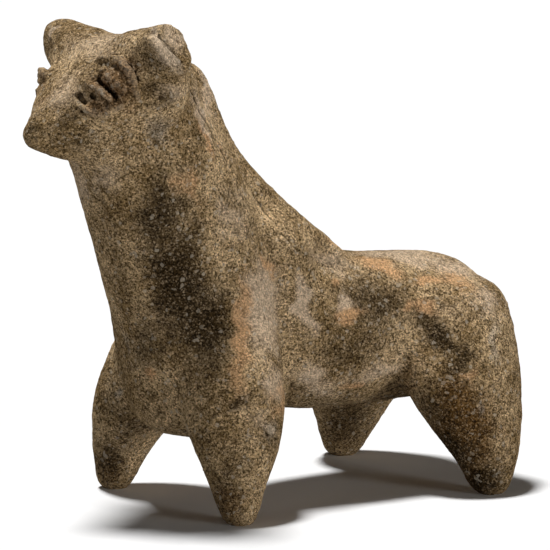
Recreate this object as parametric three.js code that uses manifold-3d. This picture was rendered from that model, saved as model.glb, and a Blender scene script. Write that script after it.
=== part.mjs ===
// A hand-modelled terracotta bull, as the lumps of clay that its maker pressed together: a trunk and a neck,
// a head with horns and eyelids, a strip of mane down the nape, four legs and a tail.
// Millimetres, +Z up. The bull looks along -Y, its left side is +X, and it stands on Z = 0.
import * as THREE from "three";
import { mergeVertices } from "three/addons/utils/BufferGeometryUtils.js";
import Module from "manifold-3d";

const wasm = await Module();
wasm.setup();

// Driving sizes. A width is measured along X, a depth square to it and to the lump's own line.
const slipGap = 0.3; // the film of slip between two lumps

const bellyHeight = 21.5; // floor to the underside of the waist
const backHeight = 59; // floor to the top of the back
const bodyLength = 67; // from the middle of the chest to the middle of the rump
const waistWidth = 37;
const rumpWidth = 44;
const rumpBulge = 13.5; // how far the rounded rump stands past its middle
const shoulderHeight = 70; // floor to the top of the trunk between the shoulders
const rumpHeight = 58; // floor to the top of the rump

const chestWidth = 42;
const chestDepth = 37;
const chestDrop = 3; // how far the chest hangs below the belly
const neckFoot = 15; // from the middle of the chest up to the foot of the neck
const neckWidth = 36;
const neckBaseDepth = 44;
const neckTopDepth = 34;
const neckLean = 19; // forward, from the shoulders to the head
const neckRise = 47; // upward, over the same stretch

const headLength = 40; // from the back of the skull to the nose
const noseReach = 26; // how far the nose stands ahead of the top of the neck
const noseDrop = 2.5; // and how far below it
const crownDrop = 6; // how far the skull's line sags at its back
const headWidth = 36; // across the brow
const headDepth = 31;
const headPitch = 17; // degrees that the face looks down
const noseWidth = 9;
const faceLength = 26; // the flattened face, from the nose to the brow
const faceSlope = 40;
const faceThickness = 9.5;
const templeWidth = 16;
const templeHeight = 21;
const eyeMoundWidth = 16;
const eyeMoundThickness = 8;

const hornSpan = 52; // between the broken tips
const hornRootWidth = 17;
const hornTipWidth = 12.5;
const hornFlatness = 0.93; // how deep along Y for each mm of height
const hornRise = 4;
const hornTilt = 1.5; // how much higher the left tip stands than the right one
const hornBreakSlant = 38; // degrees that the left break faces upward and back

const lidThickness = 3.4;

const maneTopWidth = 9;
const maneFootWidth = 22;
const maneHeight = 3; // how far it stands off the nape
const rampRun = 24.5; // how far the slope from the nape down to the back reaches
const rampSlope = 33;

const foreStance = 56; // between the middles of the two forefeet
const hindStance = 64;
const foreFootLead = 5.8; // how far the forefeet stand ahead of the middle of the chest
const hindFootTrail = 0.5; // how far the hind feet stand behind the middle of the rump
const forelegWidth = 25; // at the root
const hindlegWidth = 28;
const haunchDepth = 31; // how deep along Y the root of a hind leg is
const footWidth = 10;
const soleWear = 0.9; // how much of each rounded foot is worn flat

const tailWidth = 5;

const clayColour = 0x8d7a61;
const clayRoughness = 0.93;

// A lump of clay has rounded sections along a line and a rounded cap at each end.
// A station is { at: [x, y, z], wide, deep, keel }, and keel draws in the side that faces down.
function sectionAt({ stations }, t) {
  const line = new THREE.CatmullRomCurve3(stations.map((s) => new THREE.Vector3(...s.at)));
  const sizes = new THREE.CatmullRomCurve3(
    stations.map((s) => new THREE.Vector3(s.wide / 2, s.deep / 2, s.keel ?? 0)),
    false,
    "catmullrom",
  );
  const tangent = line.getTangent(t);
  const across = new THREE.Vector3(1, 0, 0).addScaledVector(tangent, -tangent.x).normalize();
  const upward = across.clone().cross(tangent);
  const centre = line.getPoint(t);
  const { x: halfWide, y: halfDeep, z: keel } = sizes.getPoint(t);
  return { centre, tangent, across, upward, halfWide, halfDeep, keel };
}

// A point on the skin of a lump, at an angle that runs from its +X side over the top.
function skinAt(section, degrees, lift = 0) {
  const angle = THREE.MathUtils.degToRad(degrees);
  const narrow = 1 - section.keel * (0.5 - 0.5 * Math.sin(angle));
  return section.centre
    .clone()
    .addScaledVector(section.across, (section.halfWide * narrow + lift) * Math.cos(angle))
    .addScaledVector(section.upward, (section.halfDeep + lift) * Math.sin(angle));
}

function rollClay(shape, grow = 0) {
  const { stations, startCap, endCap, sides = 24, steps = 4 } = shape;
  const rings = [];
  const addRing = (t, along, share) => {
    const section = sectionAt(shape, t);
    section.centre.addScaledVector(section.tangent, along);
    section.halfWide = (section.halfWide + grow) * share;
    section.halfDeep = (section.halfDeep + grow) * share;
    rings.push(Array.from({ length: sides }, (_, j) => skinAt(section, (j / sides) * 360)));
  };
  const capRings = 4;
  const capStep = Math.PI / (2 * capRings + 1);
  const capAngles = Array.from({ length: capRings }, (_, i) => (i + 0.5) * capStep);
  for (const angle of capAngles) addRing(0, -(startCap + grow) * Math.cos(angle), Math.sin(angle));
  const count = (stations.length - 1) * steps;
  for (let i = 0; i <= count; i++) addRing(i / count, 0, 1);
  for (const angle of capAngles.reverse()) addRing(1, (endCap + grow) * Math.cos(angle), Math.sin(angle));

  const first = sectionAt(shape, 0);
  const last = sectionAt(shape, 1);
  const points = rings.flat();
  const startPole = points.length;
  points.push(first.centre.addScaledVector(first.tangent, -(startCap + grow)));
  points.push(last.centre.addScaledVector(last.tangent, endCap + grow));
  const faces = [];
  for (let j = 0; j < sides; j++) {
    const next = (j + 1) % sides;
    faces.push(startPole, j, next);
    for (let i = 0; i + 1 < rings.length; i++) {
      const here = i * sides;
      const ahead = here + sides;
      faces.push(here + j, ahead + j, ahead + next, here + j, ahead + next, here + next);
    }
    const end = (rings.length - 1) * sides;
    faces.push(startPole + 1, end + next, end + j);
  }
  const geometry = new THREE.BufferGeometry().setFromPoints(points);
  geometry.setIndex(faces);
  return solidOf(geometry);
}

function solidOf(geometry) {
  const bare = geometry.clone();
  bare.deleteAttribute("normal");
  bare.deleteAttribute("uv");
  const merged = mergeVertices(bare, 1e-4);
  return new wasm.Manifold(
    new wasm.Mesh({
      numProp: 3,
      vertProperties: new Float32Array(merged.attributes.position.array),
      triVerts: new Uint32Array(merged.index.array),
    }),
  );
}

function pieceMesh(name, solid) {
  const mesh = solid.getMesh();
  const geometry = new THREE.BufferGeometry();
  geometry.setAttribute("position", new THREE.BufferAttribute(new Float32Array(mesh.vertProperties), 3));
  geometry.setIndex(new THREE.BufferAttribute(new Uint32Array(mesh.triVerts), 1));
  geometry.computeVertexNormals();
  const finish = { color: clayColour, roughness: clayRoughness, metalness: 0 };
  const piece = new THREE.Mesh(geometry, new THREE.MeshStandardMaterial(finish));
  piece.name = name;
  return piece;
}

// What is left of a lump once its neighbours, each with the film of slip round it, are pressed into it.
// A crumb that this cuts loose is dropped.
function pressedAgainst(lump, neighbours) {
  const pressed = neighbours.reduce((left, neighbour) => left.subtract(neighbour(slipGap)), lump(0));
  const bodies = pressed.simplify(0.02).decompose();
  return bodies.reduce((largest, body) => (body.volume() > largest.volume() ? body : largest));
}

// A rounded heap of clay, pressed flat along the way that it faces.
function heapOfClay(place, facing, across, thick, grow) {
  const ball = new THREE.IcosahedronGeometry(0.5, 6);
  ball.scale(across + 2 * grow, across + 2 * grow, thick + 2 * grow);
  const turn = new THREE.Quaternion().setFromUnitVectors(new THREE.Vector3(0, 0, 1), facing);
  ball.applyQuaternion(turn);
  ball.translate(...place);
  return solidOf(ball);
}

// Trunk, a thick roll from inside the shoulders to the rump, which rises towards the shoulders
const trunkDepth = backHeight - bellyHeight;
const trunkZ = backHeight - trunkDepth / 2;
const chestY = -bodyLength / 2;
const waistY = chestY + bodyLength * 0.5;
const rumpY = chestY + bodyLength;
const trunkAt = (along, top, wide) => ({
  at: [0, chestY + bodyLength * along, (top + bellyHeight) / 2],
  wide,
  deep: top - bellyHeight,
});
const rising = (share) => backHeight + (shoulderHeight - backHeight) * share;
const trunkShape = {
  stations: [
    trunkAt(0.18, rising(1), waistWidth * 0.9),
    trunkAt(0.37, rising(0.6), waistWidth * 0.95),
    trunkAt(0.55, rising(0.2), waistWidth),
    trunkAt(0.75, backHeight, waistWidth * 1.04),
    trunkAt(1, rumpHeight, rumpWidth),
    trunkAt(1.09, rumpHeight - 1.5, rumpWidth * 0.95),
  ],
  startCap: waistWidth / 8,
  endCap: rumpBulge * 0.55,
  sides: 32,
  steps: 4,
};
const trunk = (grow) => rollClay(trunkShape, grow);

// The slope from the nape down to the back: a share of the way down, and how deep under its skin
const ramp = THREE.MathUtils.degToRad(rampSlope);
const rampAt = (share, below) => [
  0,
  waistY - rampRun * (0.5 - share) - below * Math.sin(ramp),
  backHeight + 0.5 + rampRun * (1 - share) * Math.tan(ramp) - below * Math.cos(ramp),
];

// Neck, a thicker roll that stands on end: its foot is the chest
const chestCap = chestDepth / 2;
const chestZ = bellyHeight - chestDrop + chestCap;
const neckBaseZ = chestZ + neckFoot;
const neckAt = (lean, rise) => [0, chestY - neckLean * lean, neckBaseZ + neckRise * rise];
const neckTop = neckAt(1, 1);
const neckShape = {
  stations: [
    { at: [0, chestY, chestZ], wide: chestWidth, deep: chestDepth },
    { at: neckAt(0, 0), wide: (chestWidth + neckWidth) / 2, deep: (chestDepth + neckBaseDepth) / 2 },
    { at: neckAt(0.2, 0.35), wide: neckWidth, deep: neckBaseDepth },
    { at: neckAt(0.66, 0.68), wide: neckWidth, deep: neckTopDepth * 1.06 },
    { at: neckTop, wide: neckWidth * 0.92, deep: neckTopDepth },
  ],
  startCap: chestCap,
  endCap: neckTopDepth * 0.3,
  sides: 32,
  steps: 5,
};
const neck = (grow) => rollClay(neckShape, grow);

// Head, along a line from the nose to the back of the skull
const pitch = THREE.MathUtils.degToRad(headPitch);
const headAt = (back, lift = 0) => [
  0,
  neckTop[1] - noseReach + headLength * back * Math.cos(pitch),
  neckTop[2] - noseDrop + headLength * back * Math.sin(pitch) + lift,
];
const headShape = {
  stations: [
    { at: headAt(0), wide: noseWidth, deep: noseWidth * 0.9, keel: 0.2 },
    { at: headAt(0.16), wide: headWidth * 0.6, deep: headDepth * 0.6, keel: 0.15 },
    { at: headAt(0.33, crownDrop * 0.1), wide: headWidth * 0.9, deep: headDepth * 0.88, keel: 0.2 },
    { at: headAt(0.56), wide: headWidth, deep: headDepth, keel: 0.2 },
    { at: headAt(0.8, -crownDrop / 2), wide: headWidth * 0.92, deep: headDepth * 0.9, keel: 0.1 },
    { at: headAt(1, -crownDrop), wide: headWidth * 0.7, deep: headDepth * 0.7, keel: 0 },
  ],
  startCap: noseWidth / 3,
  endCap: headDepth / 6,
  sides: 28,
  steps: 4,
};
const slope = THREE.MathUtils.degToRad(faceSlope);
const faceAt = (share) => {
  const [x, y, z] = headAt(0);
  return [x, y + faceLength * share * Math.cos(slope), z + faceLength * share * Math.sin(slope)];
};
const faceShape = {
  stations: [
    { at: faceAt(0), wide: noseWidth * 0.7, deep: faceThickness * 0.5 },
    { at: faceAt(0.22), wide: headWidth * 0.47, deep: faceThickness * 0.8 },
    { at: faceAt(0.46), wide: headWidth * 0.76, deep: faceThickness },
    { at: faceAt(0.74), wide: headWidth * 0.96, deep: faceThickness },
    { at: faceAt(1), wide: headWidth * 0.92, deep: faceThickness * 0.9 },
  ],
  startCap: noseWidth / 6,
  endCap: faceThickness * 0.45,
  sides: 28,
  steps: 3,
};
const templePlace = [headWidth * 0.37, headAt(0.63)[1], headAt(0.56)[2] + headDepth * 0.13];
const temple = (side) => (grow) => {
  const [x, y, z] = templePlace;
  return heapOfClay([side * x, y, z], new THREE.Vector3(0, 0, 1), templeWidth, templeHeight, grow);
};

// Eyes, a mound on each cheek that faces outward, forward and a little up
const eyeFacing = (side) => new THREE.Vector3(side * 0.74, -0.6, 0.3).normalize();
const eyePlace = (side) => {
  const [, y, z] = headAt(0.33);
  return new THREE.Vector3(side * headWidth * 0.31, y, z + headDepth * 0.19);
};
const eyeMound = (side) => (grow) =>
  heapOfClay(eyePlace(side).toArray(), eyeFacing(side), eyeMoundWidth, eyeMoundThickness, grow);
const headLumps = [temple(1), temple(-1), eyeMound(1), eyeMound(-1), (grow) => rollClay(faceShape, grow)];
const head = (grow) => headLumps.reduce((whole, lump) => whole.add(lump(grow)), rollClay(headShape, grow));

// Horns, one each side of the brow, broken short
const brow = headAt(0.56);
const horn = (side) => (grow) => {
  const hornZ = brow[2] + (headDepth - hornRootWidth) * 0.57;
  const rise = hornRise + (side * hornTilt) / 2;
  const rootX = headWidth * 0.2;
  const tipX = hornSpan / 2 - hornTipWidth / 5;
  const middleWidth = (hornRootWidth + hornTipWidth) / 2;
  const station = (x, z, wide) => ({ at: [side * x, brow[1], z], wide, deep: wide * hornFlatness });
  const shape = {
    stations: [
      station(rootX, hornZ - rise * 0.2, hornRootWidth),
      station((rootX + tipX) / 2, hornZ + rise * 0.5, middleWidth),
      station(tipX, hornZ + rise, hornTipWidth),
    ],
    startCap: hornRootWidth / 8,
    endCap: hornTipWidth / 5,
    sides: 20,
    steps: 4,
  };
  const whole = rollClay(shape, grow);
  if (side < 0) return whole;
  const chip = new THREE.BoxGeometry(hornSpan, hornSpan, hornSpan).translate(0, 0, hornSpan / 2 + grow);
  const facing = new THREE.Vector3(0.6, 0.42, Math.tan(THREE.MathUtils.degToRad(hornBreakSlant))).normalize();
  chip.applyQuaternion(new THREE.Quaternion().setFromUnitVectors(new THREE.Vector3(0, 0, 1), facing));
  chip.translate(tipX, brow[1], hornZ + rise);
  chip.translate(...facing.multiplyScalar(hornTipWidth * 0.15));
  return whole.subtract(solidOf(chip));
};

// Eyelids, strips pressed round the mounds: degrees round the eye from its back, and a share of its width
const lid = (side, places) => (grow) => {
  const facing = eyeFacing(side);
  const upward = new THREE.Vector3(0, 0, 1).addScaledVector(facing, -facing.z).normalize();
  const backward = new THREE.Vector3().crossVectors(upward, facing).multiplyScalar(side);
  const stations = places.map(([degrees, share]) => {
    const angle = THREE.MathUtils.degToRad(degrees);
    const rise = (eyeMoundThickness / 2) * Math.sqrt(1 - share * share) + lidThickness * 0.1;
    const point = eyePlace(side)
      .addScaledVector(backward, (Math.cos(angle) * share * eyeMoundWidth) / 2)
      .addScaledVector(upward, (Math.sin(angle) * share * eyeMoundWidth) / 2)
      .addScaledVector(facing, rise);
    return { at: point.toArray(), wide: lidThickness, deep: lidThickness };
  });
  const cap = lidThickness / 3;
  return rollClay({ stations, startCap: cap, endCap: cap, sides: 12, steps: 4 }, grow);
};
const upperLid = (side) => lid(side, [[112, 0.74], [70, 0.62], [32, 0.6], [-5, 0.68], [-32, 0.82]]);
const lowerLid = (side) => lid(side, [[188, 0.66], [215, 0.5], [262, 0.52]]);

// Mane, a strip down the nape that spreads over the withers
const maneAt = (t, wide, deep, lift = 0) => ({
  at: skinAt(sectionAt(neckShape, t), 270, maneHeight + lift - deep / 2).toArray(),
  wide,
  deep,
});
const maneShape = {
  stations: [
    maneAt(1, maneTopWidth, maneTopWidth * 0.8, maneHeight / 3),
    maneAt(0.84, maneTopWidth, maneTopWidth * 0.9, maneHeight / 3),
    maneAt(0.7, maneTopWidth * 1.3, maneTopWidth * 1.3, maneHeight * 0.4),
    { at: rampAt(0, maneHeight * 2), wide: maneFootWidth * 0.85, deep: maneHeight * 4 },
    { at: rampAt(0.5, maneHeight * 2), wide: maneFootWidth, deep: maneHeight * 4 },
    { at: rampAt(1, maneHeight * 1.5), wide: maneFootWidth * 0.85, deep: maneHeight * 3 },
  ],
  startCap: maneTopWidth * 0.45,
  endCap: maneFootWidth * 0.25,
  sides: 20,
  steps: 5,
};
const mane = (grow) => rollClay(maneShape, grow);

// Legs, cones that lean outward to small worn feet
const leg = (side, hip, stance, footY, rootWidth, rootDepth = rootWidth) => (grow) => {
  const foot = [(side * stance) / 2, footY, footWidth / 2 - soleWear];
  const top = [side * hip[0], hip[1], hip[2]];
  const down = (share) => top.map((value, i) => value * (1 - share) + foot[i] * share);
  const shape = {
    stations: [
      { at: down(0), wide: rootWidth, deep: rootDepth },
      { at: down(0.4), wide: rootWidth * 0.9, deep: rootDepth * 0.9 },
      { at: down(0.75), wide: (rootWidth + footWidth) * 0.46, deep: (rootDepth + footWidth) * 0.46 },
      { at: down(1), wide: footWidth, deep: footWidth },
    ],
    startCap: rootWidth * 0.4,
    endCap: footWidth / 2,
    sides: 20,
    steps: 4,
  };
  const floor = new THREE.BoxGeometry(2 * rootWidth, 2 * rootWidth, rootWidth);
  floor.translate(foot[0], footY, -rootWidth / 2);
  return rollClay(shape, grow).subtract(solidOf(floor));
};
const forelegHip = [chestWidth * 0.32, chestY + 3, trunkZ + 1];
const hindlegHip = [rumpWidth * 0.37, rumpY, trunkZ - 2];
const foreleg = (side) => leg(side, forelegHip, foreStance, chestY - foreFootLead, forelegWidth);
const hindleg = (side) => leg(side, hindlegHip, hindStance, rumpY + hindFootTrail, hindlegWidth, haunchDepth);

// Tail, a worn strip down the rump
const rumpEnd = trunkShape.stations.at(-1);
const tailAt = (degrees) => {
  const angle = THREE.MathUtils.degToRad(degrees);
  const [x, y, z] = rumpEnd.at;
  return [x, y + trunkShape.endCap * Math.cos(angle), z + (rumpEnd.deep / 2) * Math.sin(angle)];
};
const tailShape = {
  stations: [66, 40, 10, -18].map((degrees) => ({
    at: tailAt(degrees),
    wide: tailWidth,
    deep: tailWidth * 0.8,
  })),
  startCap: tailWidth * 0.4,
  endCap: tailWidth * 0.4,
  sides: 12,
  steps: 4,
};
const tail = (grow) => rollClay(tailShape, grow);

const solids = {
  neck: neck(0),
  trunk: pressedAgainst(trunk, [neck]),
  head: pressedAgainst(head, [neck]),
  mane: pressedAgainst(mane, [neck, trunk, head]),
  tail: pressedAgainst(tail, [trunk]),
};
for (const [word, side] of [["left", 1], ["right", -1]]) {
  solids[`${word}_horn`] = pressedAgainst(horn(side), [head, neck]);
  solids[`${word}_upper_lid`] = pressedAgainst(upperLid(side), [head, neck, horn(side)]);
  solids[`${word}_lower_lid`] = pressedAgainst(lowerLid(side), [head, neck]);
  solids[`${word}_foreleg`] = pressedAgainst(foreleg(side), [trunk, neck]);
  solids[`${word}_hindleg`] = pressedAgainst(hindleg(side), [trunk]);
}

// The origin is on the floor under the middle of the whole bull.
const whole = new THREE.Box3();
for (const solid of Object.values(solids)) {
  const { min, max } = solid.boundingBox();
  whole.expandByPoint(new THREE.Vector3(...min)).expandByPoint(new THREE.Vector3(...max));
}
const middle = whole.getCenter(new THREE.Vector3());
const bull = new THREE.Group();
for (const [name, solid] of Object.entries(solids)) {
  bull.add(pieceMesh(name, solid.translate([-middle.x, -middle.y, 0])));
}

export default bull;
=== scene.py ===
import math
import bpy
import numpy as np
from mathutils import Matrix, Vector
from mathutils.kdtree import KDTree


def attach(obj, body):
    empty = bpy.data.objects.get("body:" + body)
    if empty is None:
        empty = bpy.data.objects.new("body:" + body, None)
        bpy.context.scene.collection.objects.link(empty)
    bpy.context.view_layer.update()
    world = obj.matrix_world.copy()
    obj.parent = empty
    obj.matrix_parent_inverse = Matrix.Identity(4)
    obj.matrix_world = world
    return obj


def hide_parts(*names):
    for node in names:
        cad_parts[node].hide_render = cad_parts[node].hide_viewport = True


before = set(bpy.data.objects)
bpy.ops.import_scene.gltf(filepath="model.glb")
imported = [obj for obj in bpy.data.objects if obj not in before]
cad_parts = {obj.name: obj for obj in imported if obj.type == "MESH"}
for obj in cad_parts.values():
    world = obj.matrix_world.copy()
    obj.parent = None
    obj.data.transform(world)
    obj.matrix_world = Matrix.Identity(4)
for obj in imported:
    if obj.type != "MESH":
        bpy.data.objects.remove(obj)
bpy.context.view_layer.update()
print("stage: frame loaded")

mm = 0.001
halfMm = 0.5 * mm

# The camera stands where the photograph was taken from. Pixels are counted in a 550 by 550 picture.
shot = {
    "azimuth": 55.34,
    "elevation": 8.64,
    "distance": 1200,
    "aim": (0, 6.75, 55.21),
    "pixel": 0.25,
    "picture": 550,
    "sensor": 36,
    "clip": (0.05, 10),
}


def pointTowards(azimuth, elevation):
    around = math.radians(azimuth)
    above = math.radians(elevation)
    level = math.cos(above)
    return Vector((math.sin(around) * level, -math.cos(around) * level, math.sin(above)))


def placeCamera():
    back = pointTowards(shot["azimuth"], shot["elevation"])
    aim = Vector(shot["aim"]) * mm
    bpy.ops.object.camera_add(location=aim + back * shot["distance"] * mm)
    eye = bpy.context.object
    eye.name = "photoCamera"
    eye.rotation_euler = (-back).to_track_quat("-Z", "Y").to_euler()
    eye.data.sensor_width = shot["sensor"]
    eye.data.lens = shot["sensor"] * shot["distance"] / (shot["picture"] * shot["pixel"])
    eye.data.clip_start, eye.data.clip_end = shot["clip"]
    bpy.context.scene.camera = eye
    right = (-back).cross(Vector((0, 0, 1))).normalized()
    return eye.location.copy(), -back, right, right.cross(-back)


eyePoint, eyeForward, eyeRight, eyeUp = placeCamera()


def lookThrough(pixel):
    half = shot["picture"] / 2
    across = (pixel[0] - half) * shot["pixel"]
    down = (pixel[1] - half) * shot["pixel"]
    return (eyeForward * shot["distance"] + eyeRight * across - eyeUp * down).normalized()


def deselectAll():
    if bpy.context.object and bpy.context.object.mode != "OBJECT":
        bpy.ops.object.mode_set(mode="OBJECT")
    bpy.ops.object.select_all(action="DESELECT")


def pick(*objects):
    deselectAll()
    for thing in objects:
        thing.select_set(True)
    bpy.context.view_layer.objects.active = objects[0]


def applyModifier(thing, kind, **values):
    pick(thing)
    bpy.ops.object.modifier_add(type=kind)
    modifier = thing.modifiers[-1]
    for key, value in values.items():
        setattr(modifier, key, value)
    bpy.ops.object.modifier_apply(modifier=modifier.name)


def readPlaces(thing):
    places = np.empty(len(thing.data.vertices) * 3)
    thing.data.vertices.foreach_get("co", places)
    return places.reshape(-1, 3)


def readNormals(thing):
    normals = np.empty(len(thing.data.vertices) * 3)
    thing.data.vertices.foreach_get("normal", normals)
    return normals.reshape(-1, 3)


# A lump is rolled from rings: x, y, z of the middle, width, depth and a lean in degrees.
rolling = {"sides": 20, "smooth": 2}
ringTurn = {"level": (0, 0, 0), "across": (math.pi / 2, 0, 0), "sideways": (0, math.pi / 2, 0)}
ringScale = {
    "level": lambda wide, deep: (wide, deep, 1),
    "across": lambda wide, deep: (wide, 1, deep),
    "sideways": lambda wide, deep: (1, deep, wide),
}


def leanRing(degrees, middle):
    if degrees:
        bpy.ops.transform.rotate(value=-math.radians(degrees), orient_axis="X", center_override=middle)


def rollClay(name, lie, rings, grow=0):
    deselectAll()
    x, y, z, wide, deep, lean = rings[0]
    middle = Vector((x, y, z)) * mm
    bpy.ops.mesh.primitive_circle_add(
        vertices=rolling["sides"], radius=halfMm, fill_type="NGON", location=middle, rotation=ringTurn[lie]
    )
    lump = bpy.context.object
    lump.name = name
    bpy.ops.object.transform_apply(location=True, rotation=True, scale=True)
    bpy.ops.object.mode_set(mode="EDIT")
    bpy.ops.mesh.select_all(action="SELECT")
    bpy.ops.transform.resize(value=ringScale[lie](wide + grow, deep + grow), center_override=middle)
    leanRing(lean, middle)
    for ring in rings[1:]:
        nextMiddle = Vector(ring[:3]) * mm
        bpy.ops.mesh.extrude_region_move(TRANSFORM_OT_translate={"value": nextMiddle - middle})
        leanRing(-lean, nextMiddle)
        wider = (ring[3] + grow) / (wide + grow)
        deeper = (ring[4] + grow) / (deep + grow)
        bpy.ops.transform.resize(value=ringScale[lie](wider, deeper), center_override=nextMiddle)
        leanRing(ring[5], nextMiddle)
        middle, wide, deep, lean = nextMiddle, ring[3], ring[4], ring[5]
    bpy.ops.mesh.select_all(action="SELECT")
    bpy.ops.mesh.normals_make_consistent(inside=False)
    bpy.ops.object.mode_set(mode="OBJECT")
    applyModifier(lump, "SUBSURF", levels=rolling["smooth"], render_levels=rolling["smooth"])
    return lump


neckRoll = {
    "lie": "level",
    "rings": [
        (0, -17, 17.4, 16, 14, 0),
        (0, -17, 19.3, 30, 27, 0),
        (0, -17, 26, 41, 36, 0),
        (0, -17.2, 37, 43.5, 38, 0),
        (0, -17.6, 49, 41.5, 42, 4),
        (0, -19, 59, 39, 45.5, 12),
        (0, -23, 70.5, 37.5, 44, 22),
        (0, -29, 82, 37, 40, 27),
        (0, -35, 95, 35, 36, 27),
        (0, -39.5, 104, 31, 31, 27),
        (0, -42, 109, 18, 18, 27),
    ],
}
trunkRoll = {
    "lie": "across",
    "rings": [
        (0, -10, 45, 32, 42, 0),
        (0, -1, 45.5, 36, 44, 0),
        (0, 8, 43, 37, 44.5, 0),
        (0, 18, 40.5, 38.5, 40.8, 0),
        (0, 33, 39.8, 41, 39.2, 0),
        (0, 49.5, 39.2, 45, 38, 0),
        (0, 59, 39, 46, 36.5, 0),
        (0, 64.5, 38.5, 37, 30, 0),
        (0, 66, 38, 18, 15, 0),
    ],
}
headRoll = {
    "lie": "across",
    "rings": [
        (0, -66.6, 95, 3, 3, 0),
        (0, -65.6, 95.2, 6, 6, 0),
        (0, -62, 95.8, 11.5, 10, 0),
        (0, -56, 97.8, 20, 18.5, 0),
        (0, -49.6, 100.5, 31, 27, 0),
        (0, -41, 103, 38.5, 32, 0),
        (0, -31.6, 103.4, 36, 30, 0),
        (0, -24, 102.2, 28, 24, 0),
        (0, -20.5, 101, 14, 12, 0),
    ],
}
# The flattened face, from the muzzle up to the brow
faceRoll = {
    "lie": "across",
    "rings": [
        (0, -64, 95, 4, 4, 41),
        (0, -62.6, 95.8, 8, 6, 41),
        (0, -58.6, 98.8, 19, 7.5, 41),
        (0, -53.6, 103.2, 29, 9, 41),
        (0, -48, 108, 35, 10, 41),
        (0, -43, 112.2, 37, 10, 41),
        (0, -39.5, 114.5, 28, 8, 41),
    ],
}
hornRoll = {
    "lie": "sideways",
    "leftRise": 2.5,
    "rightRise": -0.8,
    "riseAt": 27,
    "rings": [
        (3, -40.5, 110.6, 18, 18, 0),
        (12, -40.6, 111.6, 16.5, 16, 0),
        (20, -40.4, 113.2, 15, 14, 0),
        (26.5, -39.6, 114.8, 14, 13, 0),
        (29.5, -39.4, 115, 9.5, 9, 0),
    ],
}
forelegRoll = {
    "lie": "level",
    "rings": [
        (28.3, -23.2, -1, 5, 5, 0),
        (28.1, -23.1, 0.6, 9, 9, 0),
        (27.6, -23, 4, 11, 11, 0),
        (26.4, -22.6, 9, 14, 14, 0),
        (24, -21, 16, 19, 20.7, 0),
        (20, -19.4, 25, 24.5, 27.2, 0),
        (16, -17.5, 35, 26, 27.5, 0),
        (13, -15.5, 45, 22, 24, 0),
        (11, -15, 52, 12, 13, 0),
    ],
}
hindlegRoll = {
    "lie": "level",
    "rings": [
        (32.3, 50.4, -1, 5, 5, 0),
        (32.1, 50.4, 0.6, 9.5, 9.5, 0),
        (31.5, 50.4, 4, 12.5, 12.5, 0),
        (29.8, 50.8, 10, 16.5, 18.2, 0),
        (26.6, 49.6, 17, 21, 26, 0),
        (22, 49, 26, 26.5, 33, 0),
        (17.2, 49.9, 36, 29, 34.2, 0),
        (13.8, 51.4, 46, 28, 31.5, 0),
        (12, 52.5, 53.5, 19, 21, 0),
    ],
}
maneRoll = {
    "lie": "across",
    "rings": [
        (0, -22, 110, 6, 5, -50),
        (0, -19.5, 107.5, 9, 9, -55),
        (0, -15.5, 98.5, 10, 9.5, -75),
        (0, -12.3, 89, 11, 9.5, -62),
        (0, -5.5, 80, 15, 10, -50),
        (0, 4.5, 70, 20, 11, -42),
        (0, 15, 61.8, 24, 11, -35),
        (0, 25, 55.5, 22, 8, -28),
        (0, 30, 53.5, 9, 4, -20),
    ],
}
tailRoll = {
    "lie": "across",
    "rings": [
        (0, 56, 55.5, 3, 3, -35),
        (0, 58, 53.5, 5.2, 4.4, -45),
        (0, 61.5, 48, 5.4, 4.2, -65),
        (0, 63.3, 40, 5.2, 4, -85),
        (0, 63, 33, 4.6, 3.8, -95),
        (0, 62.2, 29.5, 2.5, 2, -105),
    ],
}
middleRolls = {
    "neck": neckRoll,
    "trunk": trunkRoll,
    "head": headRoll,
    "face": faceRoll,
    "mane": maneRoll,
    "tail": tailRoll,
}
legRolls = {"foreleg": forelegRoll, "hindleg": hindlegRoll}
bothSides = {"left": 1, "right": -1}


def mirrorRings(rings, side, rise=0):
    reach = hornRoll["riseAt"]
    return [(side * x, y, z + rise * abs(x) / reach, wide, deep, lean) for x, y, z, wide, deep, lean in rings]


def hornRings(word, side):
    return mirrorRings(hornRoll["rings"], side, hornRoll[word + "Rise"])


def buildLumps():
    lumps = [rollClay(name + "Lump", roll["lie"], roll["rings"]) for name, roll in middleRolls.items()]
    for word, side in bothSides.items():
        lumps.append(rollClay(word + "HornLump", hornRoll["lie"], hornRings(word, side)))
        for leg, roll in legRolls.items():
            rings = mirrorRings(roll["rings"], side)
            lumps.append(rollClay(word + leg.capitalize() + "Lump", roll["lie"], rings))
    return lumps


eyePads = {
    "left": {"place": (12.4, -50.2, 106.3), "facing": (0.74, -0.6, 0.3), "across": 17, "thick": 8.5},
    "right": {"place": (-11.2, -51, 102.8), "facing": (-0.74, -0.64, 0.2), "across": 13, "thick": 7},
}
templePad = {"place": (14.5, -38, 107), "facing": (0, 0, 1), "across": 16.5, "thick": 22}
withersPad = {"place": (0, 1.5, 62), "facing": (0, 0.75, 0.66), "across": 33, "thick": 21}


def addPad(name, pad, side=1):
    x, y, z = pad["place"]
    facing = Vector(pad["facing"])
    deselectAll()
    bpy.ops.mesh.primitive_ico_sphere_add(
        subdivisions=4,
        radius=halfMm,
        location=Vector((side * x, y, z)) * mm,
        rotation=facing.to_track_quat("Z", "Y").to_euler(),
        scale=(pad["across"], pad["across"], pad["thick"]),
    )
    lump = bpy.context.object
    lump.name = name
    bpy.ops.object.transform_apply(location=True, rotation=True, scale=True)
    return lump


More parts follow.
